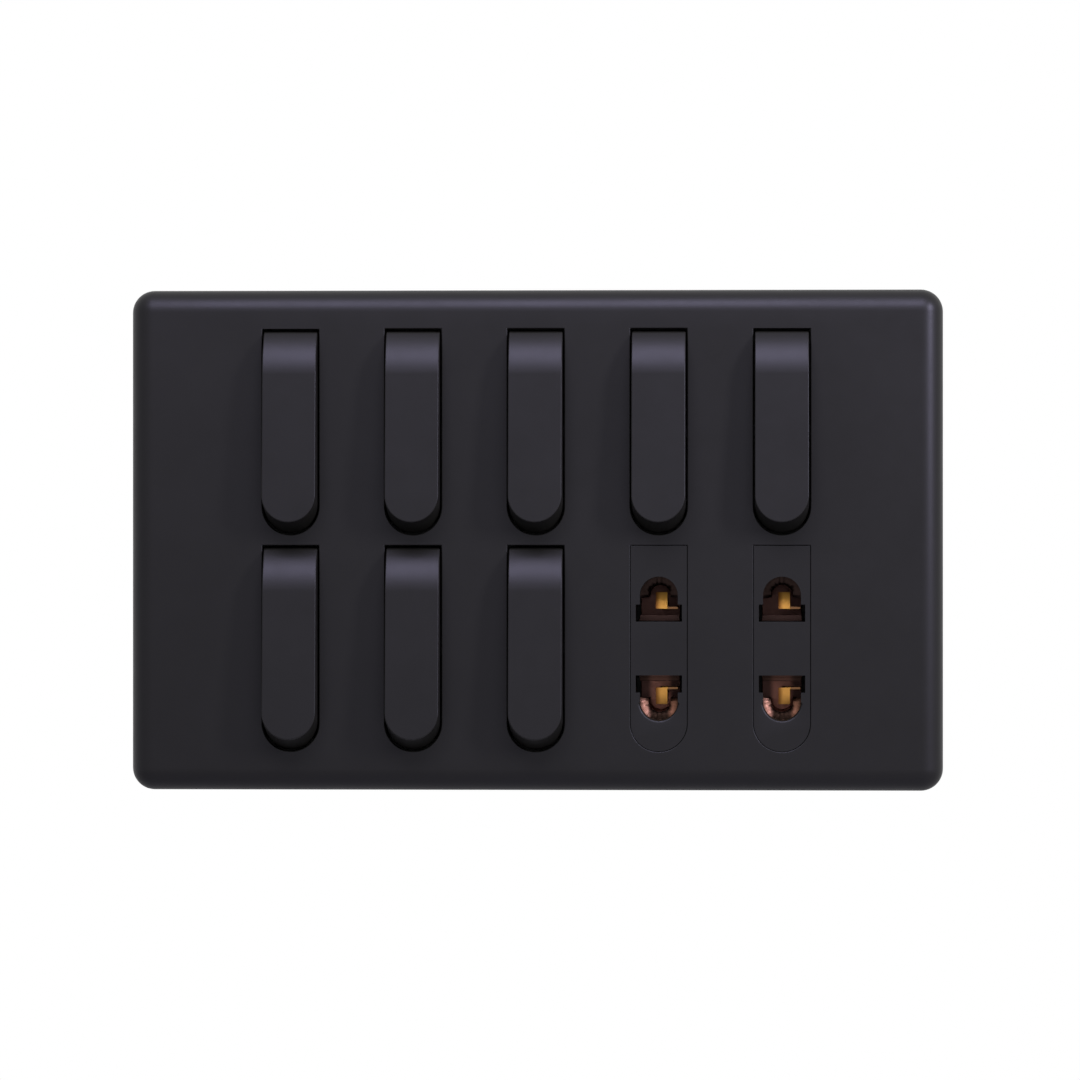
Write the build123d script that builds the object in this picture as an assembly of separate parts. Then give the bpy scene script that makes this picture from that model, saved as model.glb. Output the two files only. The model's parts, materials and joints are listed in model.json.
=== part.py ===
from build123d import *
from math import cos, hypot, radians, sin
import os

os.makedirs("parts", exist_ok=True)

# Wall plate with two rows of five narrow openings: eight rocker keys and two two-pin sockets.
# X is to the right, Y goes into the wall, Z is up; the origin is the plate's middle on the wall plane.

# cover plate
PLATE_D = 9.5
EDGE_R = 4.0
FACE_T = 2.0
SKIRT_T = 2.2
HOOK_X = 33.0
HOOK_W = 8.0
HOOK_H = 0.9
HOOK_D = 1.1
HOOK_TIP = 0.3
HOOK_RAMP = 0.55
PRY_W = 10.0
PRY_D = 1.6

# grid of openings
COLUMNS = 5
ROWS = 2
MODULE_GAP_X = 4.86
MODULE_GAP_Z = 0.7
MARGIN_X = 17.85
MARGIN_Z = 6.1
OPEN_W = 10.2
WEB_Z = 1.9
KEY_CELLS = [(0, 1), (1, 1), (2, 1), (3, 1), (4, 1), (0, 0), (1, 0), (2, 0)]
SOCKET_CELLS = [(3, 0), (4, 0)]

# mounting frame
FRAME_T = 2.5
RIB_T = 1.6
RIB_H = 2.0
FIXING_INSET = 12.7
FIXING_SLOT_W = 4.4
FIXING_SLOT_L = 7.4

# rocker key
KEY_SIDE_GAP = 0.27
KEY_END_GAP = 0.31
PIVOT_DEPTH = 4.4
ROCK_DEG = 12.0
FACE_RISE = 8.6
FACE_LEAN_DEG = 2.5
CROWN_START = 9.4
CROWN_R = 12.0
CROWN_TURN_DEG = 60.0
NOSE_RUN = 16.8
NOSE_SLANT_DEG = 11.0
KEY_UNDER = 1.5
KEY_WALL = 1.7
POCKET_DEPTH = 4.0
POCKET_END_WALL = 5.4
HUB_DEPTH = 1.9
TRUNNION_R = 1.2
TRUNNION_FLAT = 0.2
BOSS_W = 5.2
BOSS_REACH = 6.5
BORE_W = 3.0
BORE_END = 3.2

# plunger and spring
PLUNGER_REACH = 9.0
PLUNGER_TAIL = 2.6
PLUNGER_TIP_W = 0.9
PLUNGER_TIP_L = 1.2
SPRING_R = 1.25
SPRING_WIRE = 0.4
SPRING_SIDES = 6

# see-saw contact blade
BLADE_TILT_DEG = 10.0
BLADE_T = 0.8
BLADE_W = 4.4
BLADE_LOWER = 6.5
BLADE_UPPER = 7.4
TIP_LENGTH = 2.4
TIP_T = 0.6

# terminals
STRIP_T = 0.8
KNIFE_BASE = 1.8
KNIFE_TOP = 0.5
LUG_T = 0.7
LUG_RISE = 0.5
PAD_START = 4.6
BLOCK_W = 7.0
BLOCK_L = 6.0
BLOCK_D = 5.0
BLOCK_Z = 11.5
TUNNEL_W = 3.8
TUNNEL_D = 2.6
TUNNEL_WALL = 0.9
SCREW_R = 1.25
SCREW_SIDES = 8
SHANK_SIDES = 6
SCREW_HEAD_R = 2.3
SCREW_HEAD_H = 1.3
SCREW_SLOT_W = 0.6
SCREW_SLOT_D = 0.5

# switch and socket bases
BASE_W = 15.0
BASE_L = 36.0
SIDE_WALL = 2.2
END_WALL = 1.8
CORNER_CUT = 0.8
FLANGE_T = 1.5
FLANGE_OUT = 1.1
CHEEK_L = 10.0
FLOOR_T = 1.8
POCKET_D = 6.8
BARRIER_L = 6.0
TOOTH_L = 5.0
TOOTH_H = 0.85
TOOTH_D = 1.2

# socket faces and contacts
PIN_SPACING = 19.0
PIN_HOLE_R = 3.4
BLADE_SPACING = 12.7
BLADE_SLOT_W = 8.3
BLADE_SLOT_H = 3.1
FACE_PLATE_T = 1.8
CONTACT_T = 0.6
CONTACT_W = 2.1
CONTACT_FRONT = 0.9
SADDLE_FRONT_R = 3.7
SADDLE_NECK_R = 2.0
SADDLE_BACK_R = 1.8
SADDLE_RUN = 1.7
SADDLE_TURN_DEG = 100.0
SADDLE_FRONT = 0.5
LEAF_SHIFT = 0.4
RAMP_LOW = 7.1
RAMP_HIGH = 10.1
RAMP_RUN = 0.8
FOLD_IN = 0.45
FOLD_DOWN = 0.7
LEAF_FOOT = 7.6
LEDGE_REACH = 3.4
LEDGE_T = 0.3
LEDGE_BACK = 1.2
ARM_T = 0.4
JAW_W = 7.2
JAW_T = 0.35
JAW_BACK = 1.5

# clearances
FIT_GAP = 0.15
INSERT_GAP = 0.06
SEAT_GAP = 0.05
FRAME_GAP = 0.3
COVER_GAP = 0.3
RUN_GAP = 0.05
TIP_GAP = 0.1
LUG_GAP = 0.1
CONTACT_GAP = 0.08

# grid, plate and depths that follow from the sizes above
PITCH_X = BASE_W + 2 * FLANGE_OUT + MODULE_GAP_X
PITCH_Z = BASE_L + 2 * FLANGE_OUT + MODULE_GAP_Z
PLATE_W = COLUMNS * PITCH_X + 2 * MARGIN_X
PLATE_H = ROWS * PITCH_Z + 2 * MARGIN_Z
FIXING_SPACING = PLATE_W - 2 * FIXING_INSET
OPEN_L = PITCH_Z - WEB_Z
REST_DEG = ROCK_DEG / 2
KEY_W = OPEN_W - 2 * KEY_SIDE_GAP
Y_FACE = -PLATE_D
Y_UNDER = Y_FACE + FACE_T
Y_PIVOT = Y_FACE + PIVOT_DEPTH
Y_CHEEK = Y_UNDER + COVER_GAP
Y_RIM = -FRAME_T - FLANGE_T
Y_KNIFE = Y_PIVOT + PLUNGER_REACH + TIP_GAP + BLADE_T
BLADE_TILT = radians(BLADE_TILT_DEG)
Y_PAD = Y_KNIFE + BLADE_UPPER * sin(BLADE_TILT) + TIP_T * cos(BLADE_TILT) + CONTACT_GAP
Y_FLOOR = Y_PAD + STRIP_T + SEAT_GAP
Y_POCKET = Y_FLOOR + FLOOR_T
Y_BACK = Y_POCKET + POCKET_D
KEY_END_R = hypot(OPEN_L / 2 - KEY_END_GAP, PIVOT_DEPTH - FACE_T)
CAVITY_W = BASE_W - 2 * SIDE_WALL
CAVITY_L = BASE_L - 2 * END_WALL
Y_SOCKET_RIM = Y_UNDER + COVER_GAP + FACE_PLATE_T


def cell_place(cell):
    column, row = cell
    return Pos((column - (COLUMNS - 1) / 2) * PITCH_X, 0, (row - (ROWS - 1) / 2) * PITCH_Z)


def front_plane(y):
    return Plane(origin=(0, y, 0), x_dir=(1, 0, 0), z_dir=(0, -1, 0))


def slab(outline, y_near, y_far):
    return extrude(front_plane(y_far) * outline, amount=y_far - y_near)


def block(x_span, y_span, z_span):
    size = [b - a for a, b in (x_span, y_span, z_span)]
    middle = [(a + b) / 2 for a, b in (x_span, y_span, z_span)]
    return Pos(*middle) * Box(*size)


def side_prism(points, width):
    return extrude(Plane.YZ * make_face(Polyline(*points, close=True)), amount=width / 2, both=True)


def d_outline(width, length):
    radius = width / 2
    straight = length - radius
    upper = Pos(0, (length - straight) / 2) * Rectangle(width, straight)
    return upper + Pos(0, radius - length / 2) * Circle(radius)


def front_plate():
    outer = slab(Rectangle(PLATE_W, PLATE_H), Y_FACE, 0)
    rounded = outer.edges().filter_by(Axis.Y) + outer.faces().sort_by(Axis.Y)[0].edges()
    outer = fillet(rounded, EDGE_R)
    inner_w = PLATE_W - 2 * SKIRT_T
    inner_h = PLATE_H - 2 * SKIRT_T
    hollow = slab(RectangleRounded(inner_w, inner_h, EDGE_R - SKIRT_T), Y_UNDER, 0)
    plate = outer - hollow
    opening = slab(d_outline(OPEN_W, OPEN_L), Y_FACE, Y_UNDER)
    plate -= [cell_place(cell) * opening for cell in KEY_CELLS + SOCKET_CELLS]
    z_skirt = inner_h / 2
    y_hook = -SEAT_GAP
    z_hook = z_skirt - HOOK_H
    hook = side_prism([(y_hook, z_skirt), (y_hook, z_skirt - HOOK_TIP), (y_hook - HOOK_RAMP, z_hook),
                       (y_hook - HOOK_D, z_hook), (y_hook - HOOK_D, z_skirt)], HOOK_W)
    for x in (-HOOK_X, HOOK_X):
        plate += Pos(x, 0, 0) * hook
        plate += Pos(x, 0, 0) * mirror(hook, about=Plane.XY)
    return plate - block((-PRY_W / 2, PRY_W / 2), (-PRY_D, 0), (-PLATE_H / 2, -z_skirt))


def mounting_frame():
    width = PLATE_W - 2 * SKIRT_T - 2 * FRAME_GAP
    height = PLATE_H - 2 * SKIRT_T - 2 * FRAME_GAP
    frame = slab(Rectangle(width, height), -FRAME_T - RIB_H, 0)
    frame = chamfer(frame.edges().filter_by(Axis.Y), EDGE_R - SKIRT_T)
    frame -= slab(Rectangle(width - 2 * RIB_T, height - 2 * RIB_T), -FRAME_T - RIB_H, -FRAME_T)
    window = slab(Rectangle(BASE_W + 2 * FIT_GAP, BASE_L + 2 * FIT_GAP), -FRAME_T, 0)
    frame -= [cell_place(cell) * window for cell in KEY_CELLS + SOCKET_CELLS]
    fixing = slab(SlotOverall(FIXING_SLOT_L, FIXING_SLOT_W), -FRAME_T, 0)
    frame -= [Pos(x, 0, 0) * fixing for x in (-FIXING_SPACING / 2, FIXING_SPACING / 2)]
    notch_half = HOOK_W / 2 + FRAME_GAP
    notch_y = -HOOK_D - 2 * SEAT_GAP
    notch_z = height / 2 - HOOK_H
    for x in (-HOOK_X, HOOK_X):
        notch_x = (x - notch_half, x + notch_half)
        frame -= block(notch_x, (notch_y, 0), (notch_z, height / 2))
        frame -= block(notch_x, (notch_y, 0), (-height / 2, -notch_z))
    return frame


def module_body(y_front):
    body = slab(Rectangle(BASE_W, BASE_L), y_front, Y_BACK)
    body = chamfer(body.edges().filter_by(Axis.Y), CORNER_CUT)
    body += slab(Rectangle(BASE_W + 2 * FLANGE_OUT, BASE_L + 2 * FLANGE_OUT), Y_RIM, -FRAME_T)
    body -= block((-CAVITY_W / 2, CAVITY_W / 2), (Y_POCKET, Y_BACK), (-BASE_L / 2, BASE_L / 2))
    body += block((-CAVITY_W / 2, CAVITY_W / 2), (Y_POCKET, Y_BACK), (-BARRIER_L / 2, BARRIER_L / 2))
    x_side = BASE_W / 2
    tooth_points = [(x_side, SEAT_GAP), (x_side + TOOTH_H, SEAT_GAP), (x_side, SEAT_GAP + TOOTH_D)]
    tooth = extrude(make_face(Polyline(*tooth_points, close=True)), amount=TOOTH_L / 2, both=True)
    body += tooth
    body += mirror(tooth, about=Plane.YZ)
    return body


def leg_slot(side, width):
    z_inner = BLOCK_Z - BLOCK_L / 2 - SEAT_GAP
    z_outer = z_inner + STRIP_T + 2 * SEAT_GAP
    z_span = (z_inner, z_outer) if side > 0 else (-z_outer, -z_inner)
    half = width / 2 + SEAT_GAP
    return block((-half, half), (Y_FLOOR, Y_POCKET), z_span)


def switch_base():
    base = module_body(Y_RIM)
    base -= block((-CAVITY_W / 2, CAVITY_W / 2), (Y_RIM, Y_FLOOR), (-CAVITY_L / 2, CAVITY_L / 2))
    slot_half = TRUNNION_R + RUN_GAP
    z_cheek = CHEEK_L / 2
    y_cut = Y_CHEEK + CORNER_CUT
    z_cut = z_cheek - CORNER_CUT
    cheek = side_prism([(Y_RIM, -z_cheek), (y_cut, -z_cheek), (Y_CHEEK, -z_cut),
                        (Y_CHEEK, z_cut), (y_cut, z_cheek), (Y_RIM, z_cheek)], SIDE_WALL)
    for side in (-1, 1):
        x_span = sorted((side * CAVITY_W / 2, side * BASE_W / 2))
        base += Pos(side * (BASE_W - SIDE_WALL) / 2, 0, 0) * cheek
        base -= block(x_span, (Y_CHEEK, Y_PIVOT + slot_half), (-slot_half, slot_half))
        base -= leg_slot(side, BLADE_W)
    return base


def key_frame_point(along, inward):
    lean = radians(FACE_LEAN_DEG)
    out = FACE_RISE - inward
    return (-out * cos(lean) - along * sin(lean), -out * sin(lean) + along * cos(lean))


def crown_point(turn_deg):
    turn = radians(turn_deg)
    return key_frame_point(CROWN_START + CROWN_R * sin(turn), CROWN_R - CROWN_R * cos(turn))


def key_side_outline(end_run):
    nose = key_frame_point(-end_run, 0)
    start = crown_point(0)
    halfway = crown_point(CROWN_TURN_DEG / 2)
    finish = crown_point(CROWN_TURN_DEG)
    corners = [finish, (-KEY_UNDER, finish[1]), (-KEY_UNDER, nose[1]), nose]
    edges = [Line(nose, start), ThreePointArc(start, halfway, finish)]
    edges += [Line(a, b) for a, b in zip(corners, corners[1:])]
    return Plane.YZ * make_face(edges)


def key():
    radius = KEY_W / 2
    y_foot, z_foot = key_frame_point(0, 0)
    lean = radians(FACE_LEAN_DEG)
    slant = radians(NOSE_SLANT_DEG)
    face_plane = Plane(origin=(0, y_foot, z_foot), x_dir=(1, 0, 0), z_dir=(0, -cos(lean), -sin(lean)))
    top_run = KEY_END_R + FACE_RISE
    plan_length = NOSE_RUN + top_run
    plan = Pos(0, (top_run - NOSE_RUN) / 2) * d_outline(KEY_W, plan_length)
    body = extrude(face_plane * plan, amount=2 * FACE_RISE, dir=(0, cos(slant), -sin(slant)))
    body &= extrude(key_side_outline(plan_length), amount=KEY_W, both=True)
    end_room = Rot(0, 90, 0) * Cylinder(KEY_END_R, 2 * KEY_W)
    body &= end_room + block((-KEY_W, KEY_W), (-2 * FACE_RISE, 0), (-plan_length, 0))
    pocket_z = BOSS_W / 2 + KEY_WALL
    pocket_half = radius - KEY_WALL
    pocket_y = (-KEY_UNDER - POCKET_DEPTH, -KEY_UNDER)
    pocket = block((-pocket_half, pocket_half), pocket_y, (pocket_z, KEY_END_R - POCKET_END_WALL))
    body -= pocket
    body -= mirror(pocket, about=Plane.XY)
    body += block((-radius, radius), (-KEY_UNDER, HUB_DEPTH), (-BOSS_W / 2, BOSS_W / 2))
    body += block((-BOSS_W / 2, BOSS_W / 2), (0, BOSS_REACH), (-BOSS_W / 2, BOSS_W / 2))
    trunnion_half = BASE_W / 2 - FIT_GAP
    trunnion = Rot(0, 90, 0) * Cylinder(TRUNNION_R, 2 * trunnion_half)
    trunnion_y = (-TRUNNION_FLAT, TRUNNION_R)
    body += trunnion & block((-trunnion_half, trunnion_half), trunnion_y, (-TRUNNION_R, TRUNNION_R))
    body -= block((-BORE_W / 2, BORE_W / 2), (-BORE_END, BOSS_REACH), (-BORE_W / 2, BORE_W / 2))
    return body


def plunger():
    half = BORE_W / 2 - RUN_GAP
    tip = PLUNGER_TIP_W / 2
    shoulder = PLUNGER_REACH - PLUNGER_TIP_L
    points = [(PLUNGER_TAIL, -half), (shoulder, -half), (PLUNGER_REACH, -tip), (PLUNGER_REACH, tip),
              (shoulder, half), (PLUNGER_TAIL, half)]
    return side_prism(points, 2 * half)


def spring():
    length = PLUNGER_TAIL + BORE_END - 2 * SEAT_GAP
    ring = RegularPolygon(SPRING_R, SPRING_SIDES) - RegularPolygon(SPRING_R - SPRING_WIRE, SPRING_SIDES)
    return slab(ring, SEAT_GAP - BORE_END, SEAT_GAP - BORE_END + length)


def key_place(cell):
    return cell_place(cell) * Pos(0, Y_PIVOT, 0) * Rot(-REST_DEG, 0, 0)


def contact_blade():
    half = BLADE_W / 2
    blade = block((-half, half), (-BLADE_T, 0), (-BLADE_LOWER, BLADE_UPPER))
    blade += block((-half, half), (0, TIP_T), (BLADE_UPPER - TIP_LENGTH, BLADE_UPPER))
    return Pos(0, Y_KNIFE, 0) * Rot(BLADE_TILT_DEG, 0, 0) * blade


def terminal_block(side):
    y_near = Y_POCKET + SEAT_GAP
    z_span = sorted((side * (BLOCK_Z - BLOCK_L / 2), side * (BLOCK_Z + BLOCK_L / 2)))
    body = block((-BLOCK_W / 2, BLOCK_W / 2), (y_near, y_near + BLOCK_D), z_span)
    y_tunnel = y_near + TUNNEL_WALL
    body -= block((-TUNNEL_W / 2, TUNNEL_W / 2), (y_tunnel, y_tunnel + TUNNEL_D), z_span)
    thread = Pos(0, side * BLOCK_Z) * RegularPolygon(SCREW_R + RUN_GAP, SHANK_SIDES)
    return body - slab(thread, y_tunnel, y_near + BLOCK_D)


def strip(z_near, z_far, y_top):
    return block((-BLADE_W / 2, BLADE_W / 2), (y_top, y_top + STRIP_T), sorted((z_near, z_far)))


def leg(side, width, y_top):
    z_span = sorted((side * (BLOCK_Z - BLOCK_L / 2), side * (BLOCK_Z - BLOCK_L / 2 + STRIP_T)))
    return block((-width / 2, width / 2), (y_top, Y_POCKET + SEAT_GAP), z_span)


def feed_terminal():
    leg_end = BLOCK_Z - BLOCK_L / 2 + STRIP_T
    body = terminal_block(-1) + leg(-1, BLADE_W, Y_PAD) + strip(-leg_end, KNIFE_BASE / 2, Y_PAD)
    lug_in = BLADE_W / 2 + LUG_GAP
    lug_out = lug_in + LUG_T
    lug_y = Y_KNIFE - BLADE_T - LUG_RISE
    lug_z = (-KNIFE_BASE / 2, KNIFE_BASE / 2)
    body += block((-lug_out, lug_out), (lug_y, Y_PAD + STRIP_T), lug_z)
    body -= block((-lug_in, lug_in), (lug_y, Y_PAD), lug_z)
    y_top = Y_KNIFE + RUN_GAP
    knife = [(Y_PAD, -KNIFE_BASE / 2), (y_top + KNIFE_TOP / 2, -KNIFE_TOP / 2), (y_top, 0),
             (y_top + KNIFE_TOP / 2, KNIFE_TOP / 2), (Y_PAD, KNIFE_BASE / 2)]
    return body + side_prism(knife, BLADE_W)


def load_terminal():
    leg_end = BLOCK_Z - BLOCK_L / 2 + STRIP_T
    return terminal_block(1) + leg(1, BLADE_W, Y_PAD) + strip(PAD_START, leg_end, Y_PAD)


def terminal_screw():
    y_seat = Y_POCKET + BLOCK_D + 2 * SEAT_GAP
    y_end = y_seat + SCREW_HEAD_H
    y_tip = Y_POCKET + SEAT_GAP + TUNNEL_WALL + TUNNEL_D / 2
    head = slab(RegularPolygon(SCREW_HEAD_R, SCREW_SIDES), y_seat, y_end)
    shank = slab(RegularPolygon(SCREW_R, SHANK_SIDES), y_tip, y_seat)
    slot_z = (-SCREW_SLOT_W / 2, SCREW_SLOT_W / 2)
    return head + shank - block((-SCREW_HEAD_R, SCREW_HEAD_R), (y_end - SCREW_SLOT_D, y_end), slot_z)


def pin_hole_outline():
    dome = Pos(0, PIN_SPACING / 2) * Circle(PIN_HOLE_R)
    slot = Pos(0, BLADE_SPACING / 2) * Rectangle(BLADE_SLOT_W, BLADE_SLOT_H)
    neck_l = (PIN_SPACING - BLADE_SPACING) / 2
    neck = Pos(0, PIN_SPACING / 2 - neck_l / 2) * Rectangle(2 * PIN_HOLE_R, neck_l)
    return dome + neck + slot


def socket_face():
    y_step = Y_UNDER + COVER_GAP
    face = slab(d_outline(OPEN_W - 2 * INSERT_GAP, OPEN_L - 2 * INSERT_GAP), Y_FACE, y_step)
    face += slab(Rectangle(BASE_W, BASE_L), y_step, Y_SOCKET_RIM)
    hole = slab(pin_hole_outline(), Y_FACE, Y_SOCKET_RIM)
    face -= hole
    face -= mirror(hole, about=Plane.XY)
    return face


def socket_base():
    base = module_body(Y_SOCKET_RIM + SEAT_GAP)
    half = SADDLE_FRONT_R + CONTACT_T + FIT_GAP
    z_low = BLADE_SPACING / 2 - BLADE_SLOT_H / 2
    z_high = PIN_SPACING / 2 + half
    for side in (-1, 1):
        chamber_z = sorted((side * z_low, side * z_high))
        base -= block((-half, half), (Y_SOCKET_RIM, Y_FLOOR), chamber_z)
        base -= leg_slot(side, CONTACT_W)
    return base


def saddle(y_front, y_back):
    y_neck = y_front + SADDLE_RUN
    inner = [(-SADDLE_FRONT_R, y_front), (-SADDLE_NECK_R, y_neck), (-SADDLE_BACK_R, y_back)]
    outer = [(-SADDLE_BACK_R - CONTACT_T, y_back), (-SADDLE_NECK_R - CONTACT_T, y_neck + CONTACT_T / 2),
             (-SADDLE_FRONT_R - CONTACT_T, y_front + CONTACT_T / 2), (-SADDLE_FRONT_R - CONTACT_T, y_front)]
    corners = inner + outer
    start = Rot(0, 90 - SADDLE_TURN_DEG, 0) * make_face(Polyline(*corners, close=True))
    return Pos(0, 0, PIN_SPACING / 2) * revolve(start, Axis.Y, 2 * SADDLE_TURN_DEG)


def socket_contact():
    y_front = Y_SOCKET_RIM + CONTACT_FRONT
    y_throat = y_front + RAMP_RUN
    y_base = Y_FLOOR - SEAT_GAP
    y_strip = y_base - CONTACT_T
    z_saddle = PIN_SPACING / 2
    z_jaw = BLADE_SPACING / 2 - BLADE_SLOT_H / 2 + FIT_GAP
    half = CONTACT_W / 2
    arm = SADDLE_BACK_R + CONTACT_T / 2
    leaf = [(y_front, RAMP_LOW), (y_throat, RAMP_HIGH), (y_base, LEAF_FOOT + CONTACT_T), (y_base, LEAF_FOOT),
            (y_throat + FOLD_IN, RAMP_HIGH - FOLD_DOWN), (y_front + CONTACT_T, RAMP_LOW)]
    body = Pos(LEAF_SHIFT, 0, 0) * side_prism(leaf, CONTACT_W) + saddle(Y_SOCKET_RIM + SADDLE_FRONT, y_base)
    body += block((-half, half), (y_strip, y_base), (z_jaw, z_saddle))
    body += block((-JAW_W / 2, JAW_W / 2), (y_front + JAW_BACK, y_base), (z_jaw, z_jaw + JAW_T))
    body += block((-arm, arm), (y_strip, y_base), (z_saddle - ARM_T, z_saddle))
    body += block((0, LEDGE_REACH), (y_front + LEDGE_BACK, y_base), (RAMP_LOW, RAMP_LOW + LEDGE_T))
    return body + leg(1, CONTACT_W, y_strip) + terminal_block(1)


def save(shape, node):
    export_step(shape, "parts/" + node + ".step")


save(front_plate(), "front_plate")
save(mounting_frame(), "mounting_frame")

base_shape = switch_base()
key_shape = key()
plunger_shape = plunger()
spring_shape = spring()
blade_shape = contact_blade()
feed_shape = feed_terminal()
load_shape = load_terminal()
screw_shape = terminal_screw()
for number, cell in enumerate(KEY_CELLS, 1):
    save(cell_place(cell) * base_shape, "switch_base_" + str(number))
    save(key_place(cell) * key_shape, "key_" + str(number))
    save(key_place(cell) * plunger_shape, "plunger_" + str(number))
    save(key_place(cell) * spring_shape, "spring_" + str(number))
    save(cell_place(cell) * blade_shape, "contact_blade_" + str(number))

save(Compound([cell_place(cell) * feed_shape for cell in KEY_CELLS]), "feed_terminals")
save(Compound([cell_place(cell) * load_shape for cell in KEY_CELLS]), "load_terminals")
screws = []
for cell in KEY_CELLS + SOCKET_CELLS:
    screws += [cell_place(cell) * Pos(0, 0, z) * screw_shape for z in (-BLOCK_Z, BLOCK_Z)]
save(Compound(screws), "terminal_screws")

socket_face_shape = socket_face()
socket_base_shape = socket_base()
upper_contact = socket_contact()
lower_contact = mirror(upper_contact, about=Plane.XY)
for number, cell in enumerate(SOCKET_CELLS, 1):
    save(cell_place(cell) * socket_face_shape, "socket_face_" + str(number))
    save(cell_place(cell) * socket_base_shape, "socket_base_" + str(number))
    save(cell_place(cell) * upper_contact, "socket_contact_upper_" + str(number))
    save(cell_place(cell) * lower_contact, "socket_contact_lower_" + str(number))
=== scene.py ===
import json
from math import cos, radians, sin, tan

import bmesh
import bpy
from mathutils import Matrix, Vector


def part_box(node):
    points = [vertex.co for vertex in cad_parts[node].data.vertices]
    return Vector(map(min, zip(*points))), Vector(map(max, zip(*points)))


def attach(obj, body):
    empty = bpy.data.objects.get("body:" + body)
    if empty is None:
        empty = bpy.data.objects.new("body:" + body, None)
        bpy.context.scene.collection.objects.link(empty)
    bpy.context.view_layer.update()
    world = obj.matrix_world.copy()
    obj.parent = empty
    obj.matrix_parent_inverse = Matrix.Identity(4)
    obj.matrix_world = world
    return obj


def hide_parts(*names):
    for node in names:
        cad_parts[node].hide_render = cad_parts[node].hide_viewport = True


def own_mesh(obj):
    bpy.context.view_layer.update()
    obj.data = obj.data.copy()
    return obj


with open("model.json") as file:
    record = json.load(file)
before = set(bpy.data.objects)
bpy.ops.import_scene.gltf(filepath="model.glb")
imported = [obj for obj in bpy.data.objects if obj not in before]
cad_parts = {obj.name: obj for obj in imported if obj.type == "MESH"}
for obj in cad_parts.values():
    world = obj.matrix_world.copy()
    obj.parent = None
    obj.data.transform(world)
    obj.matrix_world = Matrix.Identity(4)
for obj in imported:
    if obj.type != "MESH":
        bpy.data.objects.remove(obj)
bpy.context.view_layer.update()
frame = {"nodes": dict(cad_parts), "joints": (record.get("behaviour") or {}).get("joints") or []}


# Mounting frame: the flat tray that is screwed to the wall box and carries the ten modules.
# It is moulded in black glass-filled plastic, so its faces are dull and its edges are
# slightly broken.

MM = 0.001
WELD = 0.002 * MM
FLAT_WITHIN = radians(1)
SOLID_CREASE = 50
CLOUD_SIZE = 14 * MM
FLOW_SIZE = 3.2 * MM
MOTTLE = 0.13


def only(piece):
    bpy.ops.object.select_all(action="DESELECT")
    piece.select_set(True)
    bpy.context.view_layer.objects.active = piece


def edging(piece, width, segments, sharper_than=35):
    only(piece)
    bpy.ops.object.shade_smooth()
    edge = piece.modifiers.new("edging", "BEVEL")
    edge.width = width
    edge.segments = segments
    edge.limit_method = "ANGLE"
    edge.angle_limit = radians(sharper_than)
    edge.harden_normals = True
    bpy.ops.object.modifier_apply(modifier=edge.name)


def even_shading(piece, crease=32):
    only(piece)
    bpy.ops.object.shade_smooth_by_angle(angle=radians(crease))
    evened = piece.modifiers.new("evened", "WEIGHTED_NORMAL")
    evened.keep_sharp = True
    evened.weight = 100
    bpy.ops.object.modifier_apply(modifier=evened.name)


def from_solid(node, name, edge_width, segments=2):
    piece = bpy.data.objects.new(name, frame["nodes"][node].data.copy())
    bpy.context.scene.collection.objects.link(piece)
    piece.data.materials.clear()
    only(piece)
    bpy.ops.object.mode_set(mode="EDIT")
    bpy.ops.mesh.select_all(action="SELECT")
    bpy.ops.mesh.remove_doubles(threshold=WELD)
    bpy.ops.mesh.dissolve_limited(angle_limit=FLAT_WITHIN)
    bpy.ops.object.mode_set(mode="OBJECT")
    edging(piece, edge_width, segments)
    even_shading(piece, SOLID_CREASE)
    return piece


class Wire:
    def __init__(self, tree, socket=None):
        self.tree = tree
        self.socket = socket

    def node(self, kind, settings=(), values=(), take=0):
        made = self.tree.nodes.new("ShaderNode" + kind)
        for name, setting in dict(settings).items():
            setattr(made, name, setting)
        for name, value in dict(values).items():
            if isinstance(value, Wire):
                self.tree.links.new(value.socket, made.inputs[name])
            else:
                made.inputs[name].default_value = value
        return Wire(self.tree, made.outputs[take] if made.outputs else None)

    def maths(self, operation, first, second):
        return self.node("Math", {"operation": operation}, {0: first, 1: second})

    def __add__(self, other):
        return self.maths("ADD", self, other)

    def __radd__(self, other):
        return self.maths("ADD", other, self)

    def __sub__(self, other):
        return self.maths("SUBTRACT", self, other)

    def __rsub__(self, other):
        return self.maths("SUBTRACT", other, self)

    def __mul__(self, other):
        return self.maths("MULTIPLY", self, other)

    def __rmul__(self, other):
        return self.maths("MULTIPLY", other, self)


def blank_material(name):
    material = bpy.data.materials.new(name)
    material.use_nodes = True
    material.node_tree.nodes.clear()
    wire = Wire(material.node_tree)
    return material, wire, wire.node("TexCoord", take="Object")


def noise(wire, place, grain_size, detail=2.0):
    values = {"Vector": place, "Scale": 1 / grain_size, "Detail": detail, "Roughness": 0.55}
    return wire.node("TexNoise", {}, values)


# A colour mix takes its two colours at sockets 6 and 7 and gives its result at output 2.
def mixed(wire, factor, first, second):
    ends = [end if isinstance(end, Wire) else (*end, 1) for end in (first, second)]
    values = {"Factor": factor, 6: ends[0], 7: ends[1]}
    return wire.node("Mix", {"data_type": "RGBA"}, values, take=2)


def surfaced(material, wire, values):
    surface = wire.node("BsdfPrincipled", {}, values)
    wire.node("OutputMaterial", {}, {"Surface": surface})
    return material


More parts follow.
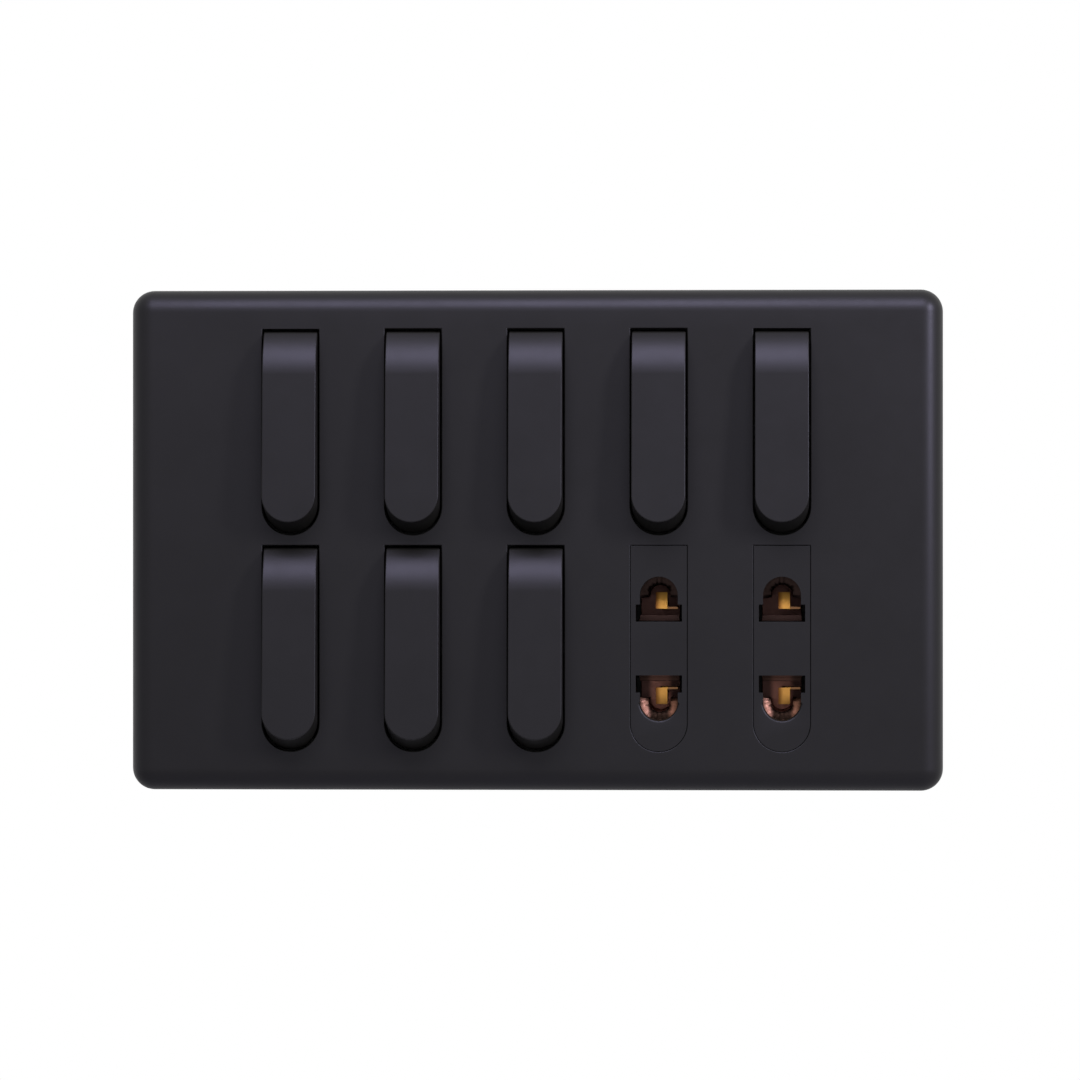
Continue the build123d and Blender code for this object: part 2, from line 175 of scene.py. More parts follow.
def moulded_plastic(name, shade, dullness, texture_size, texture_depth,
                    sheen_level, sheen_tint=(1, 1, 1)):
    material, wire, place = blank_material(name)
    cloud = noise(wire, place, CLOUD_SIZE)
    flow = noise(wire, place, FLOW_SIZE, 3)
    texture = noise(wire, place, texture_size, 3)
    dark = [(1 - MOTTLE) * part for part in shade]
    pale = [(1 + MOTTLE) * part for part in shade]
    colour = mixed(wire, 0.65 * cloud + 0.35 * texture, dark, pale)
    unevenness = 0.10 * (cloud - 0.5) + 0.08 * (flow - 0.5) + 0.10 * (texture - 0.5)
    relief = {"Strength": 0.35, "Distance": texture_depth, "Height": texture}
    return surfaced(material, wire, {
        "Base Color": colour,
        "Roughness": dullness + unevenness,
        "Specular IOR Level": sheen_level,
        "Specular Tint": (*sheen_tint, 1),
        "Normal": wire.node("Bump", {}, relief)})


frame_finish = moulded_plastic(
    "moulded frame plastic", shade=(0.022, 0.022, 0.0225), dullness=0.58,
    texture_size=0.5 * MM, texture_depth=0.03 * MM, sheen_level=0.3)

frame_tray = from_solid("mounting_frame", "frame_tray", edge_width=0.2 * MM)
frame_tray.data.materials.append(frame_finish)
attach(frame_tray, "plate")
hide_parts("mounting_frame")


# Module bases: the boxes behind the frame, eight for switches and two for sockets.
# Each is one moulding in heat-proof dark grey plastic that snaps through a window of the frame.

SWITCHES = range(1, 9)
SOCKETS = range(1, 3)


def numbered(stem, numbers):
    return ["%s_%d" % (stem, number) for number in numbers]


def twin(piece, name, moved):
    copy = piece.copy()
    copy.data = piece.data.copy()
    copy.name = name
    copy.data.transform(moved)
    bpy.context.scene.collection.objects.link(copy)
    return copy


def repeats(piece, nodes):
    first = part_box(nodes[0])[0]
    stem = piece.name[:-len("_1")]
    pieces = [piece]
    for number, node in enumerate(nodes[1:], 2):
        moved = Matrix.Translation(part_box(node)[0] - first)
        pieces.append(twin(piece, "%s_%d" % (stem, number), moved))
    return zip(nodes, pieces)


base_finish = moulded_plastic(
    "heat-proof base plastic", shade=(0.017, 0.017, 0.0172), dullness=0.52,
    texture_size=0.4 * MM, texture_depth=0.02 * MM, sheen_level=0.3)

all_bases = []
for use, numbers in (("switch", SWITCHES), ("socket", SOCKETS)):
    box = from_solid(use + "_base_1", use + "_box_1", edge_width=0.18 * MM)
    box.data.materials.append(base_finish)
    for node, piece in repeats(box, numbered(use + "_base", numbers)):
        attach(piece, "plate")
        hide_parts(node)
        all_bases.append(node)


# Terminals: folded brass strip with a screw cage behind, one feed and one load in each switch
# base. The strip is rolled and stamped, so it carries fine lines along its length and a faint
# brown tarnish.

LINE_WIDTH = 0.12 * MM
LINE_SHRINK = 0.04
TARNISH_SIZE = 2.6 * MM
SPOT_SIZE = 0.7 * MM
TARNISH_BAND = (0.42, 0.75)
METAL_RELIEF = 0.01 * MM


def band(wire, value, span, blend="SMOOTHSTEP"):
    values = {"Value": value, "From Min": span[0], "From Max": span[1]}
    return wire.node("MapRange", {"interpolation_type": blend}, values)


def metal_surfaced(material, wire, colour, roughness, relief, strength):
    bump = {"Strength": strength, "Distance": METAL_RELIEF, "Height": relief}
    return surfaced(material, wire, {
        "Base Color": colour,
        "Roughness": roughness,
        "Metallic": 1.0,
        "Normal": wire.node("Bump", {}, bump)})


def rolled_strip(name, bright, tarnished):
    material, wire, place = blank_material(name)
    lengthwise = {"Vector": place, "Scale": (1, 1, LINE_SHRINK)}
    lines = noise(wire, wire.node("Mapping", {}, lengthwise), LINE_WIDTH)
    cloud = noise(wire, place, TARNISH_SIZE, 4)
    spots = noise(wire, place, SPOT_SIZE)
    tarnish = band(wire, cloud, TARNISH_BAND, "LINEAR")
    colour = mixed(wire, 0.75 * tarnish + 0.25 * spots, bright, tarnished)
    roughness = 0.22 + 0.18 * tarnish + 0.10 * lines
    return metal_surfaced(material, wire, colour, roughness, lines, 0.25)


brass = rolled_strip("rolled brass", bright=(0.78, 0.50, 0.17), tarnished=(0.30, 0.135, 0.045))

for side in ("feed", "load"):
    strips = from_solid(side + "_terminals", side + "_strips", edge_width=0.08 * MM)
    strips.data.materials.append(brass)
    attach(strips, "plate")
    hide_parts(side + "_terminals")


# Terminal screws: twenty slotted cheese-head screws, one in each screw cage.
# They are turned from steel wire, zinc plated, with a domed rim and a milled slot.

HEAD_R = 2.2 * MM
HEAD_H = 1.2 * MM
HEAD_ROUNDING = 0.35 * MM
SHANK_R = 1.2 * MM
TIP_L = 0.5 * MM
TIP_SHRINK = 0.6
SLOT_W = 0.6 * MM
SLOT_D = 0.55 * MM
CAGE_Z = 11.5 * MM
BASE_TURN = 37
END_TURN = 64
SCREW_EDGE = 0.06 * MM
SAME_PLACE = 0.001 * MM
SQUARE_ON = 0.999
ZINC_CLOUD = 1.6 * MM
ZINC_PITS = 0.15 * MM
ZINC_GREY = (0.50, 0.51, 0.52)
ZINC_BRIGHT = (0.66, 0.66, 0.64)
FRONT = Vector((0, -1, 0))


def pick(piece, kind, wanted):
    if bpy.context.mode == "OBJECT":
        only(piece)
        bpy.ops.object.mode_set(mode="EDIT")
    bpy.ops.mesh.select_mode(type=kind)
    bpy.ops.mesh.select_all(action="DESELECT")
    mesh = bmesh.from_edit_mesh(piece.data)
    parts = {"VERT": mesh.verts, "EDGE": mesh.edges, "FACE": mesh.faces}[kind]
    for part in parts:
        if wanted(part):
            part.select_set(True)
    bmesh.update_edit_mesh(piece.data)


def put_down():
    bpy.ops.object.mode_set(mode="OBJECT")


def at(edge, axis, level):
    return all(abs(corner.co[axis] - level) < SAME_PLACE for corner in edge.verts)


def facing(direction):
    return lambda face: face.normal.dot(direction) > SQUARE_ON


def drawn_out(way):
    bpy.ops.mesh.extrude_region_move(TRANSFORM_OT_translate={"value": way})


def fixed_in_place(name):
    piece = bpy.context.object
    piece.name = name
    bpy.ops.object.transform_apply(location=True, rotation=True, scale=True)
    return piece


def block(name, low, high):
    low, high = Vector(low), Vector(high)
    bpy.ops.object.select_all(action="DESELECT")
    bpy.ops.mesh.primitive_cube_add(size=1, location=(low + high) / 2)
    bpy.context.object.scale = high - low
    return fixed_in_place(name)


def rod(name, radius, length, middle, sides, turned=(radians(90), 0, 0)):
    bpy.ops.object.select_all(action="DESELECT")
    bpy.ops.mesh.primitive_cylinder_add(vertices=sides, radius=radius, depth=length,
                                        rotation=turned, location=middle)
    return fixed_in_place(name)


def combine(piece, other, operation):
    only(piece)
    step = piece.modifiers.new("combine", "BOOLEAN")
    step.operation = operation
    step.solver = "EXACT"
    step.object = other
    bpy.ops.object.modifier_apply(modifier=step.name)
    bpy.data.objects.remove(other)


def joined(pieces):
    bpy.ops.object.select_all(action="DESELECT")
    for piece in pieces:
        piece.select_set(True)
    bpy.context.view_layer.objects.active = pieces[0]
    bpy.ops.object.join()
    return pieces[0]


def middle_of(node):
    low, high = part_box(node)
    return Vector(((low.x + high.x) / 2, 0, (low.z + high.z) / 2))


def plated_steel(name):
    material, wire, place = blank_material(name)
    cloud = noise(wire, place, ZINC_CLOUD, 3)
    pits = noise(wire, place, ZINC_PITS)
    colour = mixed(wire, cloud, ZINC_GREY, ZINC_BRIGHT)
    roughness = 0.24 + 0.16 * cloud + 0.10 * pits
    return metal_surfaced(material, wire, colour, roughness, pits, 0.2)


steel = plated_steel("zinc plated steel")

screws_low, screws_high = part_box("terminal_screws")
seat_y = screws_high.y - HEAD_H
screw = rod("screw_set", HEAD_R, HEAD_H, (0, seat_y + HEAD_H / 2, 0), sides=32)
pick(screw, "EDGE", lambda edge: at(edge, 1, screws_high.y))
bpy.ops.mesh.bevel(offset=HEAD_ROUNDING, segments=4, affect="EDGES")
pick(screw, "FACE", facing(FRONT))
bpy.ops.mesh.inset(thickness=HEAD_R - SHANK_R)
drawn_out((0, screws_low.y - seat_y + TIP_L, 0))
drawn_out((0, -TIP_L, 0))
bpy.ops.transform.resize(value=(TIP_SHRINK, 1, TIP_SHRINK))
put_down()
milled = block("milled", (-2 * HEAD_R, screws_high.y - SLOT_D, -SLOT_W / 2),
               (2 * HEAD_R, screws_high.y + MM, SLOT_W / 2))
combine(screw, milled, "DIFFERENCE")
edging(screw, SCREW_EDGE, 2)
screw.data.materials.append(steel)

screws = []
for base_number, node in enumerate(all_bases):
    for end in (-1, 1):
        turned = Matrix.Rotation(radians(BASE_TURN * base_number + END_TURN * end), 4, "Y")
        placed = Matrix.Translation(middle_of(node) + Vector((0, 0, end * CAGE_Z)))
        screws.append(twin(screw, "one_screw", placed @ turned))
screw.data.clear_geometry()
joined([screw] + screws)
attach(screw, "plate")
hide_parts("terminal_screws")


# Contact blades: the see-saw strips that rest on the knife edges of the feed terminals.
# Each is stamped from brass, with a thick contact at its upper end that meets the load terminal.

blade = from_solid("contact_blade_1", "see_saw_1", edge_width=0.1 * MM)
blade.data.materials.append(brass)
for node, piece in repeats(blade, numbered("contact_blade", SWITCHES)):
    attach(piece, node)
    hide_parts(node)


# Plungers: the square pins in the rocker keys that push the see-saw strips over.
# They are moulded in natural nylon, which is off-white and a little waxy.

NYLON_CLOUD = 1.2 * MM
NYLON_DARK = (0.56, 0.53, 0.45)
NYLON_PALE = (0.66, 0.63, 0.55)


def natural_nylon(name):
    material, wire, place = blank_material(name)
    cloud = noise(wire, place, NYLON_CLOUD)
    return surfaced(material, wire, {
        "Base Color": mixed(wire, cloud, NYLON_DARK, NYLON_PALE),
        "Roughness": 0.36 + 0.12 * cloud,
        "Subsurface Weight": 0.2,
        "Subsurface Scale": 0.4 * MM})


pin = from_solid("plunger_1", "plunger_pin_1", edge_width=0.15 * MM, segments=3)
pin.data.materials.append(natural_nylon("natural nylon"))
for node, piece in repeats(pin, numbered("plunger", SWITCHES)):
    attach(piece, node)
    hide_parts(node)


# Plunger springs: short coils of steel wire between each plunger and the end of its bore.
# A coil has seven turns of 0.36 mm wire. In the switch it shortens as the plunger goes in, but
# here each coil keeps one length and moves with its key.

REST_TILT = radians(6)
COIL_R = 1.02 * MM
WIRE_R = 0.18 * MM
WIRE_SIDES = 8
COIL_TURNS = 7
STEPS_A_TURN = 18
COIL_START = -3.15 * MM
COIL_LENGTH = 5.7 * MM

pivots = {joint["name"]: Vector(joint["pos_m"]) for joint in frame["joints"] if "pos_m" in joint}
first_key = Matrix.Translation(pivots["key_1_rock"]) @ Matrix.Rotation(-REST_TILT, 4, "X")

bpy.ops.object.select_all(action="DESELECT")
bpy.ops.mesh.primitive_circle_add(vertices=WIRE_SIDES, radius=WIRE_R,
                                  rotation=(radians(90), 0, 0), location=(COIL_R, 0, 0))
coil = fixed_in_place("coil_1")
winding = coil.modifiers.new("winding", "SCREW")
winding.axis = "Z"
winding.angle = radians(360 * COIL_TURNS)
winding.screw_offset = COIL_LENGTH - 2 * WIRE_R
winding.steps = STEPS_A_TURN * COIL_TURNS
winding.render_steps = STEPS_A_TURN * COIL_TURNS
bpy.ops.object.modifier_apply(modifier=winding.name)
pick(coil, "EDGE", lambda edge: edge.is_boundary)
bpy.ops.mesh.edge_face_add()
bpy.ops.mesh.select_all(action="SELECT")
bpy.ops.mesh.normals_make_consistent(inside=False)
put_down()
in_bore = Matrix.Translation((0, COIL_START + WIRE_R, 0)) @ Matrix.Rotation(radians(-90), 4, "X")
coil.data.transform(in_bore)
only(coil)
bpy.ops.object.shade_smooth_by_angle(angle=radians(60))
coil.data.transform(first_key)
coil.data.materials.append(steel)

inward = Vector((0, cos(REST_TILT), -sin(REST_TILT)))
for number, (node, piece) in enumerate(repeats(coil, numbered("spring", SWITCHES)), 1):
    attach(piece, "key_%d" % number)
    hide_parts(node)
    bore_end = pivots["key_%d_rock" % number] + COIL_START * inward
    "plunger_%d_slide" % number
    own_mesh(piece)


# Socket contacts: springs behind the pin holes, each with a cup for a round pin, a leaf and a jaw
# for a flat pin, and a brass screw cage at the back. The bronze strip has gone brown and sooty
# inside. Pins keep the leaf bright. Painted shade darkens the upper cups, the upper leaves and the
# left side of every leaf; painted light brightens the sides and middle of the lower cups.

LEAF_SHIFT = 0.4 * MM
LEAF_HALF = 1.1 * MM
LEAF_DEPTH = 1.5 * MM
LEAF_TOP = 10.4 * MM
LEAF_LEAN = radians(20)
STRIP_DEPTH = 12.6 * MM
STRIP_EDGE = 0.12 * MM
CUP_R = 2.0 * MM
CUP_Z = 9.5 * MM
CUP_STEP = 0.7 * MM
CUP_DISH = (0.15 * MM, 0.05 * MM)
BACK_Y = 6.96 * MM
BACK_T = 0.5 * MM
JAW_HALF = 3.6 * MM
JAW_SET_BACK = 1.85 * MM
JAW_LOW = 5.15 * MM
JAW_HIGH = 5.95 * MM
LEDGE_SET_BACK = 1.55 * MM
LEDGE_LOW = 6.95 * MM
LEDGE_HIGH = 7.5 * MM
LEDGE_REACH = 3.4 * MM
LIP_T = 1.0 * MM
RIM_Y = -4.45 * MM
RIM_R = 3.3 * MM
RIM_SINK = 1.25 * MM

RUB_AND_SHADE_BAND = (LEAF_SHIFT - 0.95 * MM, LEAF_SHIFT + 0.1 * MM)
LEDGE_BAND = (LEAF_SHIFT + LEAF_HALF, LEAF_SHIFT + LEAF_HALF + 0.1 * MM)
CUP_BAND = (7.6 * MM, 8.6 * MM)
RIM_BAND = (2.6 * MM, 3.5 * MM)
SIDE_BAND = (1.4 * MM, 2.4 * MM)
SOOT_BAND = (-3.3 * MM, -2.3 * MM)
OUTER_BAND = (1.2 * MM, 2.4 * MM)
RUB_AND_SHADE_WANDER = 0.25 * MM
SIDE_WANDER = 0.5 * MM
LEAF_CLOUD = 1.4 * MM
STRIP_CLOUD = 1.6 * MM
FLECK_SIZE = 0.4 * MM
LEDGE_BROWN = (0.19, 0.095, 0.045)
SOOT_DARK = (0.094, 0.049, 0.044)
SOOT_PALE = (0.145, 0.076, 0.067)

face_low, face_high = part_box("socket_face_1")
socket_x, socket_z = middle_of("socket_face_1").xz
socket_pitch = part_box("socket_face_2")[0].x - face_low.x
leaf_x = socket_x + LEAF_SHIFT


def across_socket(wire, place):
    right = wire.node("SeparateXYZ", {}, {"Vector": place}, "X")
    from_left = wire.maths("MODULO", right - (socket_x - socket_pitch / 2), socket_pitch)
    return from_left - socket_pitch / 2


def worn_leaf_with_painted_shade(name, bright, dim):
    material, wire, place = blank_material(name)
    across = across_socket(wire, place)
    cloud = noise(wire, place, LEAF_CLOUD, 3)
    flecks = noise(wire, place, FLECK_SIZE)
    # Painted shade dims the left part of the leaf; its right part is bright where the pins rub it.
    rub_and_shade = band(wire, across + RUB_AND_SHADE_WANDER * cloud, RUB_AND_SHADE_BAND)
    beyond = band(wire, across, LEDGE_BAND, "LINEAR")
    leaf = mixed(wire, rub_and_shade * (0.7 + 0.4 * cloud), dim, bright)
    colour = mixed(wire, beyond, leaf, LEDGE_BROWN)
    roughness = 0.42 - 0.16 * rub_and_shade + 0.10 * flecks
    return metal_surfaced(material, wire, colour, roughness, flecks, 0.2)


def bronze_strip_with_painted_light(name, left_wall_painted_light, right_rub, brown, middle):
    material, wire, place = blank_material(name)
    cloud = noise(wire, place, STRIP_CLOUD, 3)
    flecks = noise(wire, place, FLECK_SIZE)
    across = across_socket(wire, place) + SIDE_WANDER * (cloud - 0.5)
    aside = wire.maths("ABSOLUTE", across, 0)
    deep = wire.node("SeparateXYZ", {}, {"Vector": place}, "Y")
    up = wire.node("SeparateXYZ", {}, {"Vector": place}, "Z") - socket_z
    cup = band(wire, wire.maths("ABSOLUTE", up, 0), CUP_BAND)
    cup = cup * (1 - 0.85 * band(wire, aside, RIM_BAND))
    # The cup sides left and right of the pin take their own colours: painted light in the lower
    # cups, painted shade in the upper ones.
    metal = mixed(wire, cup * band(wire, across, SIDE_BAND), brown, right_rub)
    metal = mixed(wire, cup * band(wire, 0 - across, SIDE_BAND), metal, left_wall_painted_light)
    sooty = mixed(wire, cloud, SOOT_DARK, SOOT_PALE)
    # The middle of the cup takes its own colour; in the lower cups it is bright painted light.
    sooty = mixed(wire, band(wire, aside, OUTER_BAND), middle, sooty)
    colour = mixed(wire, band(wire, deep, SOOT_BAND), metal, sooty)
    roughness = 0.34 + 0.14 * cloud + 0.10 * flecks
    return metal_surfaced(material, wire, colour, roughness, flecks, 0.25)


# The upper leaf is a copy darkened with painted shade.
leaf_bronze = {
    "upper": worn_leaf_with_painted_shade("worn upper leaf", bright=(0.26, 0.135, 0.029), dim=(0.11, 0.043, 0.011)),
    "lower": worn_leaf_with_painted_shade("worn lower leaf", bright=(0.65, 0.325, 0.076), dim=(0.25, 0.10, 0.026))}
# Upper and lower strips are shaded and lit copies of one bronze: painted shade darkens the upper
# cups, painted light brightens the lower ones.
strip_bronze = {
    "upper": bronze_strip_with_painted_light(
        "browned bronze", left_wall_painted_light=(0.026, 0.0165, 0.0145), right_rub=(0.030, 0.0185, 0.0165),
        brown=(0.032, 0.020, 0.0175), middle=(0.12, 0.062, 0.055)),
    "lower": bronze_strip_with_painted_light(
        "rubbed bronze", left_wall_painted_light=(0.60, 0.305, 0.245), right_rub=(0.20, 0.093, 0.060),
        brown=(0.019, 0.011, 0.008), middle=(0.45, 0.21, 0.165))}


def standing(end, low, high):
    return sorted((socket_z + end * low, socket_z + end * high))


def strip_of(name, across, deep, up):
    piece = block(name, (across[0], deep[0], up[0]), (across[1], deep[1], up[1]))
    edging(piece, STRIP_EDGE, 3)
    return piece


def coat(piece, slot, wanted):
    pick(piece, "FACE", lambda face: wanted(face.normal, face.calc_center_median()))
    piece.active_material_index = slot
    bpy.ops.object.material_slot_assign()


for level, end in (("upper", 1), ("lower", -1)):
    stem = "socket_contact_" + level
    contact = from_solid(stem + "_1", "grip_%s_1" % level, edge_width=0.1 * MM)
    front_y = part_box(stem + "_1")[0].y
    axis = Vector((socket_x, 0, socket_z + end * CUP_Z))
    pick(contact, "VERT", lambda corner: corner.co.y < RIM_Y
         and Vector((corner.co.x - axis.x, corner.co.z - axis.z)).length > RIM_R
         and end * (corner.co.z - axis.z) > -RIM_R / 3)
    bpy.ops.transform.translate(value=(0, RIM_SINK, 0))
    put_down()

    cup_middle = axis + Vector((0, BACK_Y + BACK_T / 2, 0))
    cup_back = rod("cup_back", CUP_R, BACK_T, cup_middle, sides=32)
    pick(cup_back, "FACE", facing(FRONT))
    for sink in CUP_DISH:
        bpy.ops.mesh.inset(thickness=CUP_STEP, depth=-sink)
    put_down()
    jaw_x = (socket_x - JAW_HALF, socket_x + JAW_HALF)
    jaw_y = front_y + JAW_SET_BACK
    wing = strip_of("wing", jaw_x, (BACK_Y, BACK_Y + BACK_T), standing(end, JAW_LOW, CUP_Z))
    lip = strip_of("lip", jaw_x, (jaw_y, jaw_y + LIP_T), standing(end, JAW_LOW, JAW_HIGH))
    ledge_y = front_y + LEDGE_SET_BACK
    ledge_z = standing(end, LEDGE_LOW, LEDGE_HIGH)
    ledge = strip_of("ledge", (leaf_x, socket_x + LEDGE_REACH), (ledge_y, ledge_y + LIP_T), ledge_z)
    joined([contact, cup_back, wing, lip, ledge])
    even_shading(contact)

    for finish in (brass, strip_bronze[level], leaf_bronze[level]):
        contact.data.materials.append(finish)
    coat(contact, 1, lambda normal, spot: spot.y < front_y + STRIP_DEPTH)
    coat(contact, 2, lambda normal, spot: normal.y < -cos(LEAF_LEAN)
         and abs(spot.x - leaf_x) < LEAF_HALF
         and spot.y < front_y + LEAF_DEPTH
         and end * (spot.z - socket_z) < LEAF_TOP)
    coat(contact, 2, lambda normal, spot: normal.y < -cos(LEAF_LEAN)
         and spot.x > leaf_x + LEAF_HALF
         and abs(spot.y - ledge_y) < 0.2 * MM
         and ledge_z[0] - 0.1 * MM < spot.z < ledge_z[1] + 0.1 * MM)
    put_down()
    for node, piece in repeats(contact, numbered(stem, SOCKETS)):
        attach(piece, "plate")
        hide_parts(node)


# Socket faces: the two inserts with pin holes that stand on the socket bases, flush with the
# cover. They are moulded in the same satin black plastic as the cover and the keys.

INSERT_W = 10.08 * MM
INSERT_L = 36.88 * MM
INSERT_T = 2.3 * MM
INSERT_OVERLAP = 0.2 * MM
FLANGE_L = 36 * MM
PIN_R = 3.4 * MM
FLAT_Z = 6.35 * MM
FLAT_W = 8.3 * MM
FLAT_H = 3.1 * MM
CUT_FRONT = -15 * MM
CUT_BACK = 5 * MM
ROUNDED_HALF = 3.6 * MM
ROUNDED_LOW = -14 * MM
ROUNDED_HIGH = -8.2 * MM
PIN_ROUNDING = 0.42 * MM
INSERT_EDGE = 0.1 * MM
NEARLY_HALF = 0.9998
D_WELD = 0.005 * MM


def d_block(name, low, high, steps):
    piece = block(name, low, high)
    half = (high[0] - low[0]) / 2
    pick(piece, "EDGE", lambda edge: at(edge, 2, low[2]) and not at(edge, 1, edge.verts[0].co.y))
    bpy.ops.mesh.bevel(offset=NEARLY_HALF * half, segments=steps, affect="EDGES",
                       clamp_overlap=False)
    bpy.ops.mesh.select_all(action="SELECT")
    bpy.ops.mesh.remove_doubles(threshold=D_WELD)
    put_down()
    return piece


satin_black = moulded_plastic(
    "satin black plastic", shade=(0.0052, 0.0050, 0.0038), dullness=0.44,
    texture_size=0.28 * MM, texture_depth=0.012 * MM,
    sheen_level=0.214, sheen_tint=(0.79, 0.772, 1.0))

insert = d_block("insert_1", (-INSERT_W / 2, face_low.y, -INSERT_L / 2),
                 (INSERT_W / 2, face_low.y + INSERT_T + INSERT_OVERLAP, INSERT_L / 2), 16)
flange_half = (face_high.x - face_low.x) / 2
flange = block("flange", (-flange_half, face_low.y + INSERT_T, -FLANGE_L / 2),
               (flange_half, face_high.y, FLANGE_L / 2))
combine(insert, flange, "UNION")
for end in (-1, 1):
    dome_middle = (0, (CUT_FRONT + CUT_BACK) / 2, end * CUP_Z)
    dome = rod("dome", PIN_R, CUT_BACK - CUT_FRONT, dome_middle, sides=48)
    neck_z = sorted((end * FLAT_Z, end * CUP_Z))
    neck = block("neck", (-PIN_R, CUT_FRONT, neck_z[0]), (PIN_R, CUT_BACK, neck_z[1]))
    combine(dome, neck, "UNION")
    flat_z = (end * FLAT_Z - FLAT_H / 2, end * FLAT_Z + FLAT_H / 2)
    flat = block("flat", (-FLAT_W / 2, CUT_FRONT, flat_z[0]), (FLAT_W / 2, CUT_BACK, flat_z[1]))
    combine(dome, flat, "UNION")
    combine(insert, dome, "DIFFERENCE")
pick(insert, "EDGE", lambda edge: at(edge, 1, face_low.y)
     and edge.calc_face_angle(0) > radians(60)
     and all(abs(corner.co.x) < ROUNDED_HALF and ROUNDED_LOW < corner.co.z < ROUNDED_HIGH
             for corner in edge.verts))
bpy.ops.mesh.bevel(offset=PIN_ROUNDING, segments=5, affect="EDGES")
put_down()
insert.data.transform(Matrix.Translation((socket_x, 0, socket_z)))
edging(insert, INSERT_EDGE, 3)
insert.data.materials.append(satin_black)
for node, piece in repeats(insert, numbered("socket_face", SOCKETS)):
    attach(piece, "plate")
    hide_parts(node)


# Rocker keys: eight narrow keys, flat for most of their length, crowned at the top and round at
# the foot. Each is a hollow moulding in satin black plastic that turns on two stub axles in its
# base's cheeks.

KEY_HALF = 4.83 * MM
FACE_RISE = 8.6 * MM
FACE_LEAN = radians(2.5)
NOSE_RUN = 16.8 * MM
NOSE_SLANT = radians(13.5)
END_R = 18.348 * MM
END_CUTS = (7, 11, 15)
CROWN_START = 9.4 * MM
CROWN_R = 12 * MM
CROWN_CUTS = range(3, 51, 3)
UNDERSIDE = 1.5 * MM
WALL = 1.7 * MM
POCKET = 4 * MM
KEY_EDGE = 0.2 * MM
HUB_W = 8.66 * MM
HUB_H = 5.2 * MM
HUB_FRONT = -5.8 * MM
HUB_BACK = 1.9 * MM
STEM_W = 5.2 * MM
STEM_L = 4.6 * MM
STEM_WALL = 1.1 * MM
STEM_BORE = 9.7 * MM
AXLE_R = 1.2 * MM
AXLE_L = 14.7 * MM
AXLE_FLAT = -0.2 * MM
AXLE_EDGE = 0.12 * MM
AXLE_GAP = 3.0 * MM
GAP_FRONT = -3.2 * MM
GAP_BACK = 8 * MM
CUT_EXACTNESS = 1e-4 * MM


def plane_off(piece, point, outward):
    pick(piece, "FACE", lambda face: True)
    bpy.ops.mesh.bisect(plane_co=point, plane_no=outward, use_fill=True, clear_outer=True,
                        threshold=CUT_EXACTNESS)
    put_down()


key = d_block("rocker_1", (-KEY_HALF, -FACE_RISE, -NOSE_RUN), (KEY_HALF, 0, END_R + FACE_RISE), 14)
pick(key, "VERT", lambda corner: abs(corner.co.y) < SAME_PLACE)
bpy.ops.transform.translate(value=(0, 0, -FACE_RISE * tan(NOSE_SLANT)))
put_down()
crown_middle = Vector((0, CROWN_R - FACE_RISE, CROWN_START))
for turn in CROWN_CUTS:
    outward = Vector((0, -cos(radians(turn)), sin(radians(turn))))
    plane_off(key, crown_middle + CROWN_R * outward, outward)
for turn in END_CUTS:
    outward = Vector((0, -sin(radians(turn)), cos(radians(turn))))
    plane_off(key, END_R * outward, outward)
below = Vector((0, cos(FACE_LEAN), -sin(FACE_LEAN)))
plane_off(key, -UNDERSIDE * below, below)
edging(key, KEY_EDGE, 4, sharper_than=30)
pick(key, "FACE", facing(below))
bpy.ops.mesh.inset(thickness=WALL)
drawn_out(-POCKET * below)
put_down()
key.data.transform(Matrix.Rotation(FACE_LEAN, 4, "X"))

hub = block("hub", (-HUB_W / 2, HUB_FRONT, -HUB_H / 2), (HUB_W / 2, HUB_BACK, HUB_H / 2))
pick(hub, "FACE", facing(-FRONT))
bpy.ops.transform.resize(value=(STEM_W / HUB_W, 1, 1), center_override=(0, 0, 0))
drawn_out((0, STEM_L, 0))
bpy.ops.mesh.inset(thickness=STEM_WALL)
drawn_out((0, -STEM_BORE, 0))
put_down()
axle = rod("axle", AXLE_R, AXLE_L, (0, 0, 0), sides=24, turned=(0, radians(90), 0))
plane_off(axle, AXLE_FLAT * -FRONT, FRONT)
edging(axle, AXLE_EDGE, 2)
gap = block("gap", (-AXLE_GAP / 2, GAP_FRONT, -AXLE_GAP / 2),
            (AXLE_GAP / 2, GAP_BACK, AXLE_GAP / 2))
combine(axle, gap, "DIFFERENCE")
joined([key, hub, axle])
even_shading(key)
key.data.materials.clear()
key.data.materials.append(satin_black)
key.data.transform(first_key)
for node, piece in repeats(key, numbered("key", SWITCHES)):
    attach(piece, node)
    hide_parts(node)


# Cover plate: the clip-on front with ten openings, round-edged and hollow behind.
# It is moulded in satin black plastic and held by four snap hooks inside its skirt.

EDGE_R = 4 * MM
SKIRT_T = 2.2 * MM
FRONT_T = 2 * MM
OPENING_W = 10.2 * MM
OPENING_L = 37 * MM
COVER_EDGE = 0.2 * MM
PRY_W = 10 * MM
PRY_D = 1.6 * MM
PRY_OVERLAP = 0.1 * MM
HOOK_X = 33 * MM
HOOK_W = 8 * MM
HOOK_FRONT = -1.15 * MM
HOOK_BACK = -0.05 * MM
HOOK_REACH = 0.9 * MM
HOOK_ROOT = 0.3 * MM
HOOK_LEAD = 0.55 * MM
HOOK_EDGE = 0.08 * MM

